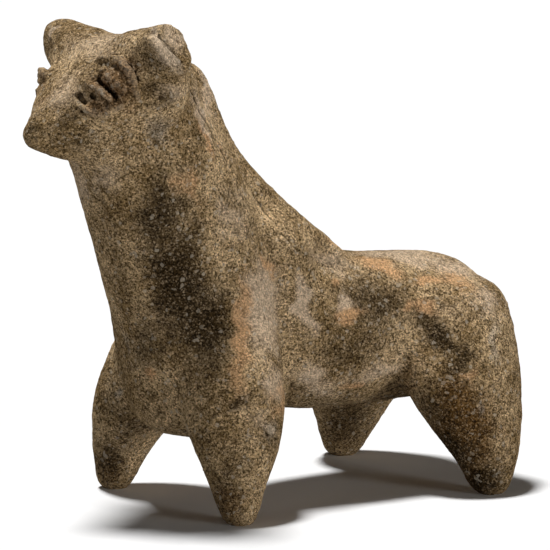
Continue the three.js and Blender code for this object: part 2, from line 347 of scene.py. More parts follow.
# Voxel sizes in mm, and how strongly and how often each new skin is smoothed
grain = {
    "coarse": 1.1,
    "middle": 0.62,
    "fine": 0.42,
    "quickMiddle": 0.8,
    "quickFine": 0.75,
    "cutter": 0.25,
    "lidTool": 0.3,
    "ease": 0.5,
    "coarseRounds": 14,
    "middleRounds": 1,
    "fineRounds": 2,
}
middleVoxel = grain["middle"] * mm
fineVoxel = grain["fine"] * mm


def remesh(thing, voxel, rounds=0):
    applyModifier(thing, "REMESH", mode="VOXEL", voxel_size=voxel)
    if rounds:
        applyModifier(thing, "SMOOTH", factor=grain["ease"], iterations=rounds)


def joinAll(name, objects):
    pick(*objects)
    if len(objects) > 1:
        bpy.ops.object.join()
    whole = bpy.context.object
    whole.name = name
    return whole


lumps = buildLumps()
pads = [addPad(word + "EyePad", pad) for word, pad in eyePads.items()]
pads += [addPad("leftTemple", templePad), addPad("rightTemple", templePad, -1), addPad("withers", withersPad)]
bull = joinAll("bull", lumps + pads)
remesh(bull, grain["coarse"] * mm, grain["coarseRounds"])
print("stage: lumps pressed together,", len(bull.data.polygons), "faces")


def skinAt(pixel):
    # The spot of the skin that shows at a pixel, and which way it faces
    ray = lookThrough(pixel)
    hit, place, normal, face = bull.ray_cast(eyePoint, ray)
    return (place, normal) if hit else nearSkin(eyePoint + ray * shot["distance"] * mm)


def nearSkin(place):
    found, spot, normal, face = bull.closest_point_on_mesh(place)
    return spot, normal


def pressThumb(pixel, push, reach):
    # Pushes the clay in (below 0) or pulls it out, in mm, fading over the reach, alike on both sides
    place, normal = skinAt(pixel)
    for spot, facing in ((place, normal), nearSkin(Vector((-place.x, place.y, place.z)))):
        nearest = int(np.argmin(((readPlaces(bull) - np.array(spot)) ** 2).sum(axis=1)))
        pick(bull)
        bpy.ops.object.mode_set(mode="EDIT")
        bpy.ops.mesh.select_all(action="DESELECT")
        bpy.ops.object.mode_set(mode="OBJECT")
        bull.data.vertices[nearest].select = True
        bpy.ops.object.mode_set(mode="EDIT")
        bpy.ops.transform.translate(
            value=facing * push * mm,
            use_proportional_edit=True,
            proportional_edit_falloff="SMOOTH",
            proportional_size=reach * mm,
        )
        bpy.ops.object.mode_set(mode="OBJECT")


thumbs = {
    "hornHollow": [((152, 66), -1.6, 7), ((140, 62), -0.8, 5)],
    "brow": [((95, 45), 0.7, 9)],
    "throat": [((105, 158), 0.8, 6)],
    "crown": [((118, 34), 0.8, 8)],
    "shoulder": [((262, 320), 1.0, 12), ((255, 375), 0.6, 8)],
    "behindShoulder": [((300, 350), -0.8, 9), ((290, 392), -0.9, 6)],
    "chest": [((165, 405), -0.8, 8)],
    "backEdge": [((372, 266), 0.7, 6), ((400, 274), 0.7, 6), ((430, 284), 0.6, 7)],
    "flank": [((350, 330), 0.6, 12), ((425, 322), -0.8, 7), ((447, 345), -0.8, 7)],
    "haunch": [((470, 300), 0.8, 10), ((480, 350), 0.5, 9)],
    "groin": [((395, 388), -0.9, 7)],
}
for marks in thumbs.values():
    for pixel, push, reach in marks:
        pressThumb(pixel, push, reach)
print("stage: thumb marks pressed in")


def dab(place, along, normal, long, wide, high):
    across = normal.cross(along).normalized()
    turned = Matrix((normal.cross(across) * -1, across, normal)).transposed()
    deselectAll()
    bpy.ops.mesh.primitive_ico_sphere_add(
        subdivisions=2,
        radius=halfMm,
        location=place,
        rotation=turned.to_euler(),
        scale=(long, wide, high),
    )
    return bpy.context.object


def crumble(thing, size, depth, group=""):
    # Lumps of about one size, as high as the depth, where the group says so
    clouds = bpy.data.textures.new(thing.name + "Clouds", "CLOUDS")
    clouds.noise_scale = size * mm
    clouds.noise_depth = 3
    applyModifier(
        thing,
        "DISPLACE",
        texture=clouds,
        texture_coords="LOCAL",
        strength=depth * mm,
        mid_level=0.5,
        vertex_group=group,
    )


def strokeRow(pixels):
    # The spots of the skin along a stroke drawn on the photograph
    return [skinAt(pixel) for pixel in pixels]


def farRow(row, shift, sink):
    # The same stroke on the bull's right side, of which the photograph shows only the outline
    spots = [nearSkin(Vector((-place.x, place.y, place.z)) + Vector(shift) * mm) for place, normal in row]
    return [(place - normal * sink * mm, normal) for place, normal in spots]


# How far apart the dabs of a stroke lie and how long they are, in widths, and how thin its ends are
stroke = {"step": 0.4, "long": 1.3, "stripTaper": 0.6, "eyeCutTaper": 0.4, "bodyCutTaper": 0.5}


def layRow(row, wide, high, lift, taper=stroke["stripTaper"]):
    facing = sum((normal for place, normal in row), Vector()).normalized()
    points = [place + facing * lift * mm for place, normal in row]
    made = []
    for order, (start, end) in enumerate(zip(points, points[1:])):
        steps = max(1, round((end - start).length / (stroke["step"] * wide * mm)))
        for part in range(steps + (order == len(points) - 2)):
            whole = (order + part / steps) / (len(points) - 1)
            size = taper + (1 - taper) * math.sin(math.pi * whole)
            spot = start.lerp(end, part / steps)
            long = stroke["long"] * wide * size
            made.append(dab(spot, end - start, facing, long, wide * size, high * size))
    return made


eyeStrips = {
    "upper_lid": {
        "path": [(100, 60), (109, 60), (119, 64), (128, 72), (134, 84), (138, 98)],
        "wide": 2.8, "high": 4.6, "lift": 0.9,
    },
    "lower_lid": {"path": [(88, 85), (98, 90), (110, 99)], "wide": 2.4, "high": 4.2, "lift": 0.8},
}
eyeDabs = {
    "ball": {"path": [(106, 72), (114, 79), (124, 86)], "wide": 5, "high": 3, "lift": 0.3},
    "underLid": {"path": [(82, 106), (94, 112), (108, 112), (120, 107)], "wide": 3, "high": 3.4, "lift": 0.4},
}
eyeCuts = {
    "outerGroove": {
        "path": [(101, 54), (111, 56), (122, 61), (131, 69), (137, 81), (140, 94)],
        "wide": 1.5, "high": 4.4, "lift": 0,
    },
    "gash": {
        "path": [(93, 74), (100, 81), (108, 89), (116, 97), (123, 105)],
        "wide": 1.4, "high": 6.5, "lift": 0,
    },
    "underGash": {"path": [(86, 93), (92, 97), (100, 102)], "wide": 1.2, "high": 4.6, "lift": 0},
    "hollow": {"path": [(74, 95), (79, 97), (83, 101)], "wide": 2, "high": 4.4, "lift": 0},
    "hollowEdge": {"path": [(80, 102), (87, 105)], "wide": 1.3, "high": 3, "lift": 0},
    "lowGroove": {"path": [(75, 107), (82, 111), (90, 118)], "wide": 0.9, "high": 2.6, "lift": 0},
    "sidePit": {"path": [(62, 104), (68, 105)], "wide": 1.3, "high": 2.4, "lift": 0},
}
bodyCuts = {
    "headEdge": {"path": [(192, 60), (192, 70), (191.5, 82)], "wide": 1.1, "high": 2.4, "lift": 0.2},
    "forelegSlit": {"path": [(266, 430), (267.5, 433), (268, 437)], "wide": 1.2, "high": 2.8, "lift": 0},
    "forelegPit": {"path": [(275, 444), (277, 448)], "wide": 1.4, "high": 2.8, "lift": 0},
}
rightEyeShift = (1.2, 0, -7.2)
rightEyeSink = {"upper_lid": -0.3, "lower_lid": 2, "ball": 0, "underLid": 2}
farCutStart = 2
crumbled = {"cutter": (1.4, 1.1), "strips": (1.7, 0.9)}
eyeRows = {}
strips = []
for name, strip in eyeStrips.items():
    row = strokeRow(strip["path"])
    eyeRows["left_" + name] = row
    eyeRows["right_" + name] = farRow(row, rightEyeShift, rightEyeSink[name])
    for word in ("left_", "right_"):
        strips += layRow(eyeRows[word + name], strip["wide"], strip["high"], strip["lift"])
for name, extra in eyeDabs.items():
    row = strokeRow(extra["path"])
    for side in (row, farRow(row, rightEyeShift, rightEyeSink[name])):
        strips += layRow(side, extra["wide"], extra["high"], extra["lift"])
cuts = []
for cut in eyeCuts.values():
    row = strokeRow(cut["path"])
    for side in (row, farRow(row[farCutStart:], rightEyeShift, 0)):
        cuts += layRow(side, cut["wide"], cut["high"], cut["lift"], stroke["eyeCutTaper"])
for cut in bodyCuts.values():
    cuts += layRow(strokeRow(cut["path"]), cut["wide"], cut["high"], cut["lift"], stroke["bodyCutTaper"])
cutter = joinAll("eyeCutter", cuts)
remesh(cutter, grain["cutter"] * mm)
crumble(cutter, *crumbled["cutter"])
strips = joinAll("eyeStrips", strips)
crumble(strips, *crumbled["strips"])
bull = joinAll("bull", [bull, strips])
remesh(bull, middleVoxel, grain["middleRounds"])


def cutAway(thing, tool, operation="DIFFERENCE"):
    applyModifier(thing, "BOOLEAN", object=tool, operation=operation, solver="MANIFOLD")


cutAway(bull, cutter)
bpy.data.objects.remove(cutter)
print("stage: eyes laid on and cut,", len(bull.data.polygons), "faces")

# The horns end in rough breaks
hornBreak = {
    "left": {"place": (25.2, -40.5, 116.4), "facing": (0.85, 0.4, 0.34)},
    "right": {"place": (-27.3, -44.7, 115.3), "facing": (-0.9, -0.3, 0.1)},
    "size": 22,
    "cuts": 24,
    "crumbs": (2.2, 2.4),
}
for word in bothSides:
    deselectAll()
    facing = Vector(hornBreak[word]["facing"]).normalized()
    middle = (Vector(hornBreak[word]["place"]) + facing * hornBreak["size"] / 2) * mm
    bpy.ops.mesh.primitive_cube_add(
        size=hornBreak["size"] * mm, location=middle, rotation=facing.to_track_quat("Z", "Y").to_euler()
    )
    chopper = bpy.context.object
    chopper.name = word + "Chopper"
    bpy.ops.object.transform_apply(location=True, rotation=True, scale=True)
    bpy.ops.object.mode_set(mode="EDIT")
    bpy.ops.mesh.select_all(action="SELECT")
    bpy.ops.mesh.subdivide(number_cuts=hornBreak["cuts"])
    bpy.ops.object.mode_set(mode="OBJECT")
    crumble(chopper, *hornBreak["crumbs"])
    cutAway(bull, chopper)
    bpy.data.objects.remove(chopper)
remesh(bull, fineVoxel, grain["fineRounds"])
print("stage: horns broken,", len(bull.data.polygons), "faces")

# The skin of the clay
skin = {"dents": (9, 0.5), "lumps": (3.2, 0.3), "sand": (1.1, 0.16)}
for size, depth in skin.values():
    crumble(bull, size, depth)


def writeValue(thing, name, values):
    layer = thing.data.attributes.get(name) or thing.data.attributes.new(name, "FLOAT", "POINT")
    layer.data.foreach_set("value", values.astype(np.float32))


# The clay round the eyes is torn
tear = {"pixel": (106, 84), "reach": 6.6, "fade": 4, "least": 0.02, "size": 1.5, "depth": 1.35}
torn = bull.vertex_groups.new(name="torn")
places = readPlaces(bull)
spot = skinAt(tear["pixel"])[0]
for middle in (spot, Vector((-spot.x, spot.y, spot.z))):
    away = np.linalg.norm(places - np.array(middle), axis=1) / (tear["reach"] * mm)
    weight = np.exp(-(away ** tear["fade"]))
    for index in np.flatnonzero(weight > tear["least"]):
        torn.add([int(index)], float(weight[index]), "REPLACE")
crumble(bull, tear["size"], tear["depth"], "torn")
bull.vertex_groups.clear()


def lineDistance(places, points):
    nearest = np.full(len(places), np.inf)
    for start, end in zip(points, points[1:]):
        start, end = np.array(start), np.array(end)
        run = end - start
        part = np.clip(((places - start) @ run) / (run @ run), 0, 1)
        nearest = np.minimum(nearest, np.linalg.norm(places - start - part[:, None] * run, axis=1))
    return nearest


ripple = {"octaves": 3, "waves": 7, "phase": 6.3}


def rippled(places, seed, size, depth):
    # Slow waves in all directions, so that no stain or scratch keeps a clean edge
    waves = np.random.default_rng(seed)
    moved = places.copy()
    for octave in range(ripple["octaves"]):
        for wave in range(ripple["waves"]):
            run = waves.normal(size=3)
            run *= 2 * math.pi / (size * mm / 2**octave * np.linalg.norm(run))
            push = waves.normal(size=3) * depth * mm / 2**octave
            phase = waves.uniform(0, ripple["phase"])
            moved += push * np.sin(places @ run + phase)[:, None]
    return moved


# Each: path, width, depth and darkness; the darkness paints shade into the groove
scratches = {
    "crestGroove": [
        [(190, 86), (194.5, 97), (199, 107), (206, 120), (213, 134), (220, 147), (227, 161)], 0.55, 0.9, 1
    ],
    "crestCrack": [[(253, 193), (260, 203), (268, 215), (279, 230), (288, 240), (300, 251)], 0.4, 0.4, 0.45],
    "hornGroove": [[(152, 31), (160, 36), (168, 43), (176, 52), (183, 61)], 0.9, 0.9, 0.4],
    "hornRidge": [[(146, 38), (156, 46), (167, 55), (178, 62)], 1.1, -0.7, 0],
    "jawRidge": [[(187, 89), (174, 97), (160, 104), (146, 111), (132, 118)], 0.9, -0.4, 0],
    "muzzleRidge": [[(34, 117), (46, 110), (58, 103), (70, 96)], 1.5, -0.8, 0],
    "chin": [[(30, 130), (44, 142), (60, 150), (78, 155)], 2.2, 0.5, 0],
    "foldOne": [[(283, 368), (284, 385), (286, 402)], 0.7, 0.6, 0.5],
    "foldTwo": [[(291, 372), (290, 388), (289, 404)], 0.6, 0.4, 0.3],
    "forelegRing": [[(214, 421), (224, 414), (237, 410), (252, 409), (266, 412)], 0.9, -0.35, 0],
    "groinCrease": [[(378, 396), (390, 391), (400, 388), (413, 385)], 0.7, 0.6, 0.5],
    "hindRidge": [[(516, 372), (503, 375), (491, 386)], 0.9, -0.35, 0],
}
normals = readNormals(bull)
places = readPlaces(bull)
shift = np.zeros(len(places))
# Painted shade along the grooves, as dark as each scratch's darkness
crack = np.zeros(len(places))
wavy = rippled(places, seed=5, size=4, depth=0.09)
for pixels, wide, depth, darkness in scratches.values():
    points = [skinAt(pixel)[0] for pixel in pixels]
    cut = np.exp(-((lineDistance(wavy, points) / (wide * mm)) ** 2))
    shift += depth * mm * cut
    crack = np.maximum(crack, cut * darkness)
places -= normals * shift[:, None]

# Pits where grit fell out, and grit that stands proud
pits = {
    "seed": 7,
    "count": 1400,
    "wide": (0.25, 0.6),
    "deep": (0.12, 0.4),
    "reach": 2,
    "gritShare": 0.4,
    "gritDepth": -0.5,
}


def plantTree(places):
    tree = KDTree(len(places))
    for index, place in enumerate(places):
        tree.insert(place, index)
    tree.balance()
    return tree


rng = np.random.default_rng(pits["seed"])
skinTree = plantTree(places)
for index in rng.integers(0, len(places), pits["count"]):
    wide = rng.uniform(*pits["wide"]) * mm
    deep = rng.uniform(*pits["deep"]) * mm * (pits["gritDepth"] if rng.random() < pits["gritShare"] else 1)
    for spot, near, distance in skinTree.find_range(places[index], pits["reach"] * wide):
        places[near] -= normals[near] * deep * math.exp(-((distance / wide) ** 2))
bull.data.vertices.foreach_set("co", places.ravel())
bull.data.update()
writeValue(bull, "crack", crack)
print("stage: skin roughened")

# The soles are worn flat on the floor
stoneSize = 200 * mm
deselectAll()
bpy.ops.mesh.primitive_cube_add(size=stoneSize, location=(0, 0, -stoneSize / 2))
grindstone = bpy.context.object
cutAway(bull, grindstone)
bpy.data.objects.remove(grindstone)


def settle(places, edges, rounds):
    # Averages each spot with its neighbours
    count = len(places)
    ends = np.concatenate((edges[:, 0], edges[:, 1]))
    others = np.concatenate((edges[:, 1], edges[:, 0]))
    share = np.maximum(np.bincount(ends, minlength=count), 1)
    for step in range(rounds):
        sums = [np.bincount(ends, places[others, axis], count) for axis in range(3)]
        places = np.stack([total / share for total in sums], axis=1)
    return places


# How deep each spot lies below its surroundings, for painted shade in the hollows and wear on the ridges
settling = {"near": 4, "wide": 26, "facing": 20}
edges = np.empty(len(bull.data.edges) * 2, dtype=np.int64)
bull.data.edges.foreach_get("vertices", edges)
edges = edges.reshape(-1, 2)
places = readPlaces(bull)
normals = readNormals(bull)
near = settle(places, edges, settling["near"])
wider = settle(near, edges, settling["wide"])
writeValue(bull, "hollow", ((near - places) * normals).sum(axis=1) / mm)
writeValue(bull, "valley", ((wider - places) * normals).sum(axis=1) / mm)

# Stains: middle and half size in photograph pixels, tilt in degrees clockwise, strength
stains = {
    # Soot stains, and painted shade in the hollow by the horn, under the jaw, on the lower face and low on
    # the legs
    "soot": [
        (178, 285, 30, 60, -14, 0.95), (160, 215, 20, 50, 10, 0.8), (205, 320, 26, 42, 0, 0.95),
        (150, 345, 24, 30, 20, 0.6), (195, 240, 14, 25, 0, 0.6), (35, 132, 9, 7, 0, 0.7),
        (80, 140, 40, 10, 12, 0.45), (375, 302, 45, 26, 8, 0.7), (440, 335, 14, 34, -38, 0.85),
        (350, 350, 40, 26, 0, 0.5), (460, 362, 12, 22, 10, 0.75), (430, 410, 22, 32, -20, 0.55),
        (455, 455, 26, 36, -20, 0.8), (484, 482, 22, 16, 0, 0.9), (350, 425, 34, 34, 0, 0.52),
        (108, 465, 20, 28, 0, 0.65), (120, 420, 22, 40, 0, 0.45), (235, 480, 20, 34, 0, 0.5),
        (238, 512, 20, 14, 0, 0.2), (240, 398, 12, 9, 0, 0.7), (270, 440, 9, 14, 0, 0.5),
        (110, 85, 26, 22, -30, 0.5), (152, 62, 16, 14, 0, 0.6), (160, 160, 30, 16, 0, 0.3),
        (390, 290, 22, 12, 0, 0.55), (322, 398, 36, 8, -8, 0.4), (250, 225, 14, 8, -40, 0.4),
        (265, 345, 9, 7, 0, 0.4), (60, 120, 24, 9, -32, 0.35), (160, 132, 14, 11, 0, 0.5),
        (165, 88, 16, 14, 0, 0.65), (200, 275, 12, 14, 0, 0.75), (55, 130, 14, 10, 0, 0.3),
        (120, 250, 14, 44, 0, 0.25), (235, 450, 16, 20, 0, 0.25),
    ],
    "orange": [
        (184, 187, 6, 14, -8, 0.5), (192, 205, 8, 14, 0, 0.25), (204, 140, 4, 22, -18, 0.7),
        (242, 330, 8, 48, 0, 0.75), (236, 372, 10, 22, 10, 0.5), (268, 268, 4, 12, -12, 0.8),
        (351, 311, 11, 7, 6, 0.95), (340, 284, 7, 5, 0, 0.6), (380, 266, 22, 6, 12, 0.9),
        (430, 283, 12, 6, 10, 0.8), (412, 308, 10, 4, 0, 0.7), (432, 309, 10, 8, -20, 0.8),
        (456, 322, 16, 14, 0, 0.12), (452, 280, 20, 9, 15, 0.6), (469.5, 375, 4, 11, 42, 0.5),
        (352, 386, 8, 5, 0, 0.8), (152, 378, 6, 7, 0, 0.75), (279, 400, 6, 20, 0, 0.7),
        (335, 240, 20, 3, 25, 0.5), (222, 150, 4, 12, -25, 0.4),
    ],
    # Pale slip, and painted light on the forehead, the top of the muzzle and along the top of the back and
    # rump
    "pale": [
        (95, 45, 42, 18, 8, 0.4), (60, 95, 24, 16, -40, 0.4), (174, 36, 14, 7, 42, 0.6),
        (165, 49, 21, 7, 42, 0.75), (206, 95, 7, 24, -15, 0.6), (202, 118, 4, 22, -20, 0.9),
        (262, 308, 18, 40, 0, 0.8), (303, 304, 6, 19, -6, 1.4), (345, 300, 9, 6, 0, 0.7),
        (308, 374, 14, 11, -25, 0.9), (275, 385, 12, 20, 0, 0.6), (232, 215, 10, 22, -15, 0.4),
        (400, 256, 50, 7, 3, 0.6), (455, 268, 30, 12, 15, 0.6), (485, 300, 16, 22, -15, 0.5),
        (455, 305, 22, 14, 20, 0.2), (330, 262, 30, 10, 15, 0.5), (50, 33, 4, 8, 10, 0.9),
        (210, 87, 3, 8, -10, 0.9), (105, 181, 16, 12, 0, 0.4), (80, 185, 8, 26, -16, 0.5),
        (380, 375, 34, 8, -12, 0.5), (320, 385, 24, 8, 0, 0.5), (180, 85, 14, 10, 0, 0.35),
        (262, 425, 12, 16, 0, 0.3),
    ],
    "red": [
        (112, 84, 20, 22, -30, 1.0), (98, 108, 18, 9, 10, 0.9), (44, 80, 8, 12, 0, 0.7),
        (40, 103, 8, 8, 0, 0.6), (130, 108, 12, 8, 0, 0.5), (160, 92, 14, 8, -20, 0.3),
    ],
    "ash": [
        (205, 268, 8, 16, -12, 0.15), (163, 126, 18, 20, -20, 0.5), (495, 342, 9, 26, 0, 0.6),
        (124, 398, 4, 9, -15, 0.8), (127, 338, 4, 14, 0, 0.5), (268, 432, 9, 9, 0, 0.6),
        (166, 48, 24, 8, 40, 1.0), (400, 355, 18, 10, 0, 0.35), (240, 205, 10, 22, -20, 0.35),
        (150, 450, 9, 12, 0, 0.4), (482, 405, 6, 10, 0, 0.5), (96, 192, 5, 14, -16, 0.4),
    ],
    "ochre": [
        (465, 430, 34, 50, -15, 0.9), (478, 480, 20, 18, 0, 0.9), (228, 505, 22, 22, 0, 0.6),
        (110, 470, 18, 24, 0, 0.6), (345, 430, 30, 30, 0, 0.5), (175, 300, 34, 50, 0, 0.4),
        (445, 395, 16, 14, 0, 0.7),
    ],
}
# How many of each are strewn where the camera sees nothing
unseenStains = {
    "seed": 11,
    "soot": 46,
    "orange": 34,
    "pale": 34,
    "ash": 18,
    "ochre": 22,
    "size": (3, 13),
    "strength": (0.4, 0.9),
    "grazing": 0.3,
    "least": 0.3,
}
stainEdge = {"depth": 1.3, "power": 1.15, "fade": 0.7}


def fadeOut(squares):
    return np.exp(-(squares ** stainEdge["power"]) * stainEdge["fade"])


rippledPlaces = rippled(places, seed=3, size=16, depth=0.45)
axisSide = np.array(eyeRight)
axisUp = np.array(eyeUp)
axisBack = -np.array(eyeForward)
smoothNormals = settle(normals, edges, settling["facing"])
turnedAway = np.clip(-(smoothNormals @ axisBack) / unseenStains["grazing"], 0, 1)
unseen = np.flatnonzero(turnedAway > unseenStains["least"])
guess = np.random.default_rng(unseenStains["seed"])
for stain, dabs in stains.items():
    amount = np.zeros(len(places))
    for across, down, halfWide, halfHigh, tilt, strength in dabs:
        away = rippledPlaces - np.array(skinAt((across, down))[0])
        turn = math.radians(-tilt)
        side = away @ axisSide
        rise = away @ axisUp
        wide = (side * math.cos(turn) + rise * math.sin(turn)) / (halfWide * shot["pixel"] * mm)
        high = (rise * math.cos(turn) - side * math.sin(turn)) / (halfHigh * shot["pixel"] * mm)
        deep = (away @ axisBack) / (max(halfWide, halfHigh) * stainEdge["depth"] * shot["pixel"] * mm)
        amount = np.maximum(amount, strength * fadeOut(wide**2 + high**2 + deep**2))
    for spot in guess.choice(unseen, unseenStains.get(stain, 0)):
        size = guess.uniform(*unseenStains["size"], 3) * mm
        away = (rippledPlaces - places[spot]) / size
        patch = guess.uniform(*unseenStains["strength"]) * fadeOut((away**2).sum(axis=1))
        amount = np.maximum(amount, patch * turnedAway)
    writeValue(bull, stain, amount)
print("stage: stains placed")


# What is painted on the whole, to be painted again on the cut edges of the pieces
paint = {}
for name in ("crack", "hollow", "valley", *stains):
    paint[name] = np.empty(len(places))
    bull.data.attributes[name].data.foreach_get("value", paint[name])
paintTree = plantTree(places)


def repaint(piece):
    nearest = np.array([paintTree.find(spot.co)[1] for spot in piece.data.vertices])
    for name, values in paint.items():
        writeValue(piece, name, values[nearest])


# The whole is parted again into the lumps that it was made from
parting = {
    "legGrow": 2.2,
    "tailGrow": 1.2,
    "maneGrow": 1.6,
    "hornGrow": 2.6,
    "hornStart": 6,
    "lidGrow": 1.0,
    "blockSize": 300,
    "head": {"place": (0, -38, 98.5), "tilt": 35.7},
    "neck": {"place": (0, 1, 50), "tilt": 90},
}


def takePiece(name, tool):
    pick(bull)
    bpy.ops.object.duplicate()
    piece = bpy.context.object
    piece.name = name + "Clay"
    cutAway(piece, tool, "INTERSECT")
    cutAway(bull, tool)
    bpy.data.objects.remove(tool)
    return piece


def tiltedBlock(name, place, tilt):
    # A block whose underside runs through a place and tips forward by the tilt
    size = parting["blockSize"]
    deselectAll()
    middle = Vector(place) * mm + Matrix.Rotation(math.radians(tilt), 3, "X") @ Vector((0, 0, size / 2 * mm))
    bpy.ops.mesh.primitive_cube_add(size=size * mm, location=middle, rotation=(math.radians(tilt), 0, 0))
    bpy.context.object.name = name
    bpy.ops.object.transform_apply(location=True, rotation=True, scale=True)
    return bpy.context.object


pieces = {}
for word, side in bothSides.items():
    for leg, roll in legRolls.items():
        rings = mirrorRings(roll["rings"], side)
        tool = rollClay("tool", roll["lie"], rings, parting["legGrow"])
        pieces[word + "_" + leg] = takePiece(word + "_" + leg, tool)
pieces["tail"] = takePiece("tail", rollClay("tool", tailRoll["lie"], tailRoll["rings"], parting["tailGrow"]))
pieces["mane"] = takePiece("mane", rollClay("tool", maneRoll["lie"], maneRoll["rings"], parting["maneGrow"]))
# takePiece cuts into the bull, so the head stands in for it until its horns and lids are off
rest = bull
bull = takePiece("head", tiltedBlock("tool", **parting["head"]))
for word, side in bothSides.items():
    rings = [ring for ring in hornRings(word, side) if abs(ring[0]) > parting["hornStart"]]
    tool = rollClay("tool", hornRoll["lie"], rings, parting["hornGrow"])
    pieces[word + "_horn"] = takePiece(word + "_horn", tool)
for name, row in eyeRows.items():
    strip = eyeStrips[name.split("_", 1)[1]]
    grow = parting["lidGrow"]
    dabs = layRow(row, strip["wide"] + grow, strip["high"] + grow, strip["lift"])
    tool = joinAll("tool", dabs)
    remesh(tool, grain["lidTool"] * mm)
    pieces[name] = takePiece(name, tool)
pieces["head"] = bull
bull = rest
pieces["neck"] = takePiece("neck", tiltedBlock("tool", **parting["neck"]))
pieces["trunk"] = bull


def keepLargest(piece):
    pick(piece)
    before = len(piece.data.polygons)
    bpy.ops.object.mode_set(mode="EDIT")
    bpy.ops.mesh.select_all(action="SELECT")
    bpy.ops.mesh.separate(type="LOOSE")
    bpy.ops.object.mode_set(mode="OBJECT")
    parts = sorted(bpy.context.selected_objects, key=lambda part: -len(part.data.polygons))
    for crumb in parts[1:]:
        bpy.data.objects.remove(crumb)
    return parts[0], before - len(parts[0].data.polygons)


for name, piece in list(pieces.items()):
    piece, crumbs = keepLargest(piece)
    pieces[name] = piece
    piece.name = name + "Clay"
    repaint(piece)
    print("piece", name, len(piece.data.polygons), "faces,", crumbs, "dropped")
print("stage: parted into", len(pieces), "pieces")


# Clay that shows its mottling, stains, grit and hollows
def addNode(tree, kind, **values):
    node = tree.nodes.new("ShaderNode" + kind)
    for key, value in values.items():
        node.inputs[key].default_value = value
    return node


def addNoise(tree, where, size, detail, rough):
    node = addNode(tree, "TexNoise", Scale=1 / (size * mm), Detail=detail, Roughness=rough)
    tree.links.new(where, node.inputs["Vector"])
    return node.outputs["Fac"]


def addGrains(tree, where, size):
    # Grains of sand, each with a shade of its own
    node = addNode(tree, "TexVoronoi", Scale=1 / (size * mm))
    tree.links.new(where, node.inputs["Vector"])
    split = addNode(tree, "SeparateColor")
    tree.links.new(node.outputs["Color"], split.inputs["Color"])
    return split.outputs["Red"]


def addRange(tree, value, low, high, lowOut=0, highOut=1):
    node = addNode(tree, "MapRange")
    node.interpolation_type = "SMOOTHSTEP"
    tree.links.new(value, node.inputs["Value"])
    for key, number in (("From Min", low), ("From Max", high), ("To Min", lowOut), ("To Max", highOut)):
        node.inputs[key].default_value = number
    return node.outputs["Result"]


def addMath(tree, work, first, second):
    node = addNode(tree, "Math")
    node.operation = work
    for slot, value in enumerate((first, second)):
        if isinstance(value, (int, float)):
            node.inputs[slot].default_value = value
        else:
            tree.links.new(value, node.inputs[slot])
    return node.outputs["Value"]


def addMix(tree, amount, first, second, blend="MIX"):
    node = addNode(tree, "Mix")
    node.data_type = "RGBA"
    node.blend_type = blend
    sockets = [socket for socket in node.inputs if socket.type == "RGBA"]
    for socket, value in zip(sockets, (first, second)):
        if isinstance(value, tuple):
            socket.default_value = (*value, 1)
        else:
            tree.links.new(value, socket)
    if isinstance(amount, (int, float)):
        node.inputs["Factor"].default_value = amount
    else:
        tree.links.new(amount, node.inputs["Factor"])
    return next(socket for socket in node.outputs if socket.type == "RGBA")


def readPaint(tree, name):
    node = addNode(tree, "Attribute")
    node.attribute_name = name
    return node.outputs["Fac"]


def addStains(tree, stains, edge, colour, share=1):
    for stain, (tint, low, high, most) in stains.items():
        amount = addMath(tree, "ADD", readPaint(tree, stain), edge)
        colour = addMix(tree, addRange(tree, amount, low, high, 0, most * share), colour, tint)
    return colour


def addLayer(tree, look, name, value, colour, blend="MIX"):
    return addMix(tree, addRange(tree, value, *look["layers"][name]), colour, look[name], blend)


# Noises are size in mm, detail and roughness; worn and slip are tint, start, end and strongest share.
# Layers are start and end of the value that they follow, and how much of them shows at each.
clayLook = {
    "dark": (0.27, 0.175, 0.077),
    "light": (0.62, 0.44, 0.243),
    "sand": (0.5, 0.38, 0.25),
    "worn": {
        "ochre": ((0.11, 0.05, 0.009), 0.15, 0.75, 0.9),
        # Soot stains together with painted shade
        "soot": ((0.034, 0.02, 0.007), 0.05, 0.9, 0.95),
        "red": ((0.2, 0.11, 0.05), 0.15, 0.75, 0.75),
        "ash": ((0.5, 0.44, 0.36), 0.2, 0.8, 0.65),
    },
    "slip": {
        # Pale slip together with painted light on the upward tops
        "pale": ((0.74, 0.56, 0.385), 0.05, 0.75, 0.85),
        "orange": ((0.69, 0.405, 0.2), 0.1, 0.8, 0.85),
    },
    "slipOverGrains": 0.5,
    "broad": (13, 5, 0.6),
    "ragged": (2.6, 8, 0.72),
    "grit": (0.5, 3, 0.6),
    "raggedness": 0.7,
    "mottling": (0.32, 0.68),
    "stainRagged": 0.6,
    "stainGrit": 0.5,
    "stainLess": 0.55,
    "grainSizes": (0.45, 0.28),
    "grainDark": (0.2, 0.18, 0.15),
    "grainBright": (1.75, 1.75, 1.75),
    "fleckSize": 0.8,
    "fleck": (0.72, 0.62, 0.48),
    "fleckDark": (0.25, 0.22, 0.18),
    "gritDark": (0.3, 0.27, 0.24),
    # Painted shade in the pits, wear on the ridges, painted shade in the grooves and in broad hollows
    "pitShade": (0.05, 0.032, 0.017),
    "rubbed": (0.7, 0.56, 0.4),
    "crack": (0.03, 0.02, 0.01),
    "valley": (0.06, 0.04, 0.02),
    "eyeRed": 0.12,
    "roughness": 0.92,
    "specular": 0.02,
    "bump": {"Strength": 0.85, "Distance": 0.45 * mm},
    "bumpGrains": 0.35,
    "layers": {
        "grainDark": (0.1, 0.45, 0.8, 0),
        "grainBright": (0.65, 1, 0, 0.8),
        "sand": (0.82, 1, 0, 0.32),
        "fleck": (0.92, 1, 0, 0.4),
        "fleckDark": (0, 0.07, 0.6, 0),
        "gritDark": (0.32, 0.5, 0.35, 0),
        # Painted shade in the pits, wear on the ridges, painted shade in the grooves and in broad hollows
        "pitShade": (0.03, 0.18, 0, 0.6),
        "rubbed": (-0.14, -0.02, 0.16, 0),
        "crack": (0.25, 0.8, 0, 0.85),
        "valley": (0.15, 0.95, 0, 0.5),
    },
}


